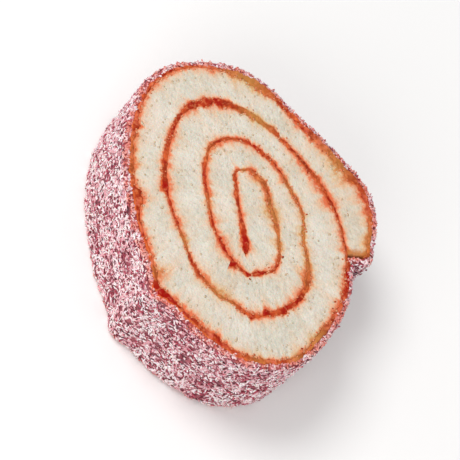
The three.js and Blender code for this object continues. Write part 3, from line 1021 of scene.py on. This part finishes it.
def shred_finish(name, light, dark):
    """Flakes of coconut, each between a light and a dark colour, and wet near the cut faces."""
    look = Finish(name)
    color = look.mix(look.attribute("shade"), light, dark)
    color = look.mix(look.patches(scale=500, low=0.4, high=0.7, most=0.35), color, dark)
    wet_patches = look.patches(scale=260, low=0.35, high=0.6)
    wet = look.math("MULTIPLY", look.near_faces(reach=1.8, most=0.8), wet_patches)
    color = look.mix(wet, color, SHREDS_BY_JELLY)
    return look.finish(color, roughness=0.55, Subsurface_Weight=0.1, Subsurface_Scale=0.0006)


# Pieces

sponge = new_object("sponge_sheet", sponge_mesh())
sponge.data.materials.append(sponge_finish())
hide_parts("sponge")

jelly = new_object("jelly_layer", jelly_mesh())
jelly.data.materials.append(jelly_finish())
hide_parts("jelly")

coat = new_object("coat_base", coat_mesh())
coat.data.materials.append(coat_finish())
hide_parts("coconut_coat")

SHRED_KINDS = (
    ("white_shreds", 9800, 21, WHITE_SHREDS),
    ("pink_shreds", 7600, 22, PINK_SHREDS),
    ("crimson_shreds", 4000, 23, CRIMSON_SHREDS),
)
shred = shred_template()
for name, count, seed, colors in SHRED_KINDS:
    placed = scattered_shreds(count, seed)
    piece = new_object(name, many(name, shred, placed))
    piece.data.materials.append(shred_finish(name.replace("shreds", "coconut"), *colors))


def scatter_lumps(name, finish, seed, count, away, size, height):
    """One piece of small lumps on the cut face, as far from the jelly as away says."""
    rng = np.random.default_rng(seed)
    turns = spread_turns(rng, count)
    lumps = lumps_on_face(rng, turns, away(rng, turns), size, height)
    piece = new_object(name, many(name, blob_template(seed), lumps))
    piece.data.materials.append(finish)


def near(spread):
    """Distances round the jelly's own edges, with their mean and their spread."""
    return lambda rng, turns: at_jelly_edge(rng, turns, spread)


def apart(reach):
    """Distances from the jelly's line, between a least and a most."""
    return lambda rng, turns: apart_from_jelly(rng, turns, reach)


scatter_lumps(
    "jelly_specks", jelly.data.materials[0], seed=31, count=24, away=apart((0.6, 2.0)),
    size=(0.25, 0.7), height=(0.15, 0.35),
)
scatter_lumps(
    "sponge_crumbs", crumb_finish(), seed=32, count=320, away=apart((2.0, 4.8)),
    size=(0.3, 0.9), height=(0.15, 0.4),
)
scatter_lumps(
    "soaked_crumbs", soaked_crumb_finish(), seed=33, count=620, away=near((0.3, 0.3)),
    size=(0.3, 0.8), height=(0.15, 0.35),
)

for piece in (sponge, jelly, coat):
    piece.data.polygons.foreach_set("use_smooth", [True] * len(piece.data.polygons))


# The floor, the light and the camera

floor_bm = bmesh.new()
bmesh.ops.create_grid(floor_bm, x_segments=1, y_segments=1, size=3.0)
floor_mesh = bpy.data.meshes.new("floor")
floor_bm.to_mesh(floor_mesh)
floor_bm.free()
floor = bpy.data.objects.new("floor", floor_mesh)
bpy.context.scene.collection.objects.link(floor)
floor_finish = Finish("pale_floor")
floor.data.materials.append(floor_finish.finish(FLOOR, roughness=0.6))


def soft_light(name, place, size, power):
    data = bpy.data.lights.new(name, "AREA")
    data.shape = "DISK"
    data.size = size
    data.energy = power
    light = bpy.data.objects.new(name, data)
    bpy.context.scene.collection.objects.link(light)
    light.location = place
    light.rotation_euler = (-Vector(place)).to_track_quat("-Z", "Y").to_euler()


soft_light("key_light", place=(-0.35, 0.45, 0.9), size=0.5, power=5.5)
soft_light("fill_light", place=(-0.75, -0.45, 0.45), size=0.8, power=3.9)
SKY_STRENGTH = 0.55
world = bpy.data.worlds.new("studio")
bpy.context.scene.world = world
world.use_nodes = True
sky = world.node_tree.nodes["Background"]
sky.inputs["Color"].default_value = (1, 1, 1, 1)
sky.inputs["Strength"].default_value = SKY_STRENGTH
bpy.context.scene.view_settings.view_transform = "Standard"

# The camera looks down on the slice from one side, and is rolled so that it lies as in the photograph
CAMERA_TILT = math.radians(33)
CAMERA_TOWARD = math.radians(208)
CAMERA_ROLL = math.radians(45)
CAMERA_DISTANCE = 0.6
toward = Vector((math.cos(CAMERA_TOWARD), math.sin(CAMERA_TOWARD), 0))
beside = Vector((-toward.y, toward.x, 0))
sight = math.sin(CAMERA_TILT) * toward + math.cos(CAMERA_TILT) * Vector((0, 0, 1))
down = math.cos(CAMERA_TILT) * toward - math.sin(CAMERA_TILT) * Vector((0, 0, 1))
right = math.cos(CAMERA_ROLL) * beside - math.sin(CAMERA_ROLL) * down
up = -math.sin(CAMERA_ROLL) * beside - math.cos(CAMERA_ROLL) * down
camera_data = bpy.data.cameras.new("camera")
camera_data.lens = 160
camera_data.sensor_width = 36
camera = bpy.data.objects.new("camera", camera_data)
bpy.context.scene.collection.objects.link(camera)
aim = Vector((0, 0, SLICE_HEIGHT * MM / 2))
turned = Matrix((right, up, sight)).transposed().to_4x4()
camera.matrix_world = Matrix.Translation(aim + CAMERA_DISTANCE * sight) @ turned
bpy.context.scene.camera = camera
